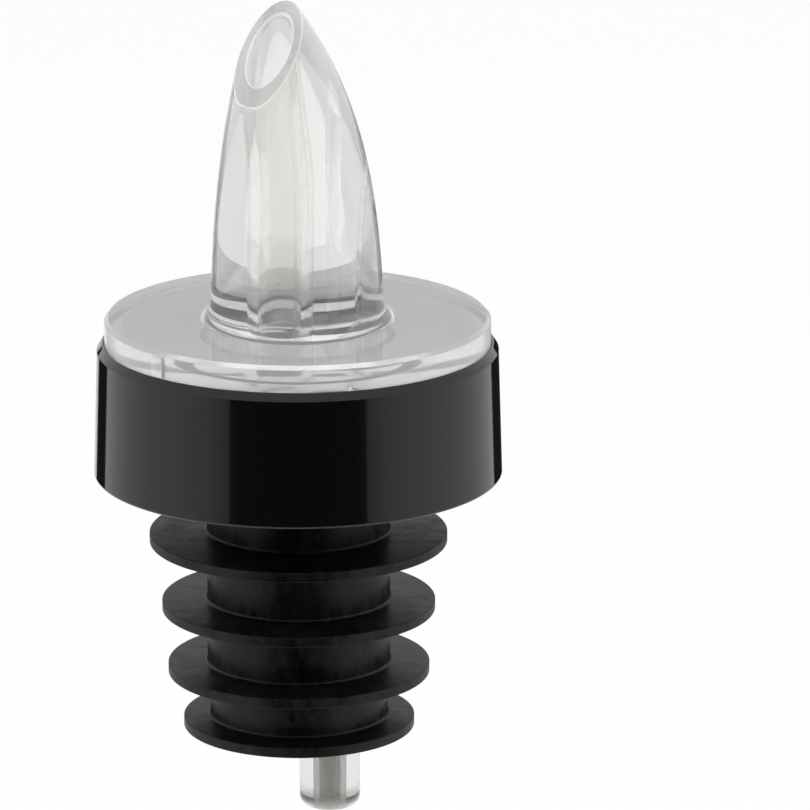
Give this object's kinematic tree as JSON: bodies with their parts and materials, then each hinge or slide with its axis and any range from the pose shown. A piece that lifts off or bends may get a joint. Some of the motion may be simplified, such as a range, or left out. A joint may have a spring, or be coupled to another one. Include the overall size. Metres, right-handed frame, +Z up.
{
  "type": "liquor pourer",
  "caption": "Free-flow bottle pourer: clear slanted beak on a round flange, gloss black collar, finned black cork that plugs the bottle's neck and a clear vent tube below.",
  "frame": {"origin": "on the axis at the collar's underside, where it rests on the bottle's mouth", "axes": "+Z up along the axis, out of the bottle; the beak pours towards -Y; +X to the right when looking at the beak's mouth from the front"},
  "size_m": [0.032, 0.032, 0.0662],
  "materials": {
    "clear_plastic": "clear, polished moulding",
    "collar_black": "gloss",
    "cork_black": "satin, soft"
  },
  "bodies": {
    "cork": {"cork": "cork_black"},
    "collar": {"collar": "collar_black"},
    "spout": {"spout": "clear_plastic"},
    "vent_tube": {"vent_tube": "clear_plastic"}
  },
  "joints": [
    {"name": "beak_turn", "type": "hinge", "parent": "cork", "child": "collar", "pos_m": [0, 0, 0], "axis": [0, 0, 1], "continuous": true},
    {"name": "spout_lift", "type": "slide", "parent": "collar", "child": "spout", "axis": [0, 0, 1], "range_m": [0, 0.03]},
    {"name": "tube_pull", "type": "slide", "parent": "spout", "child": "vent_tube", "axis": [0, 0, -1], "range_m": [0, 0.009]}
  ]
}
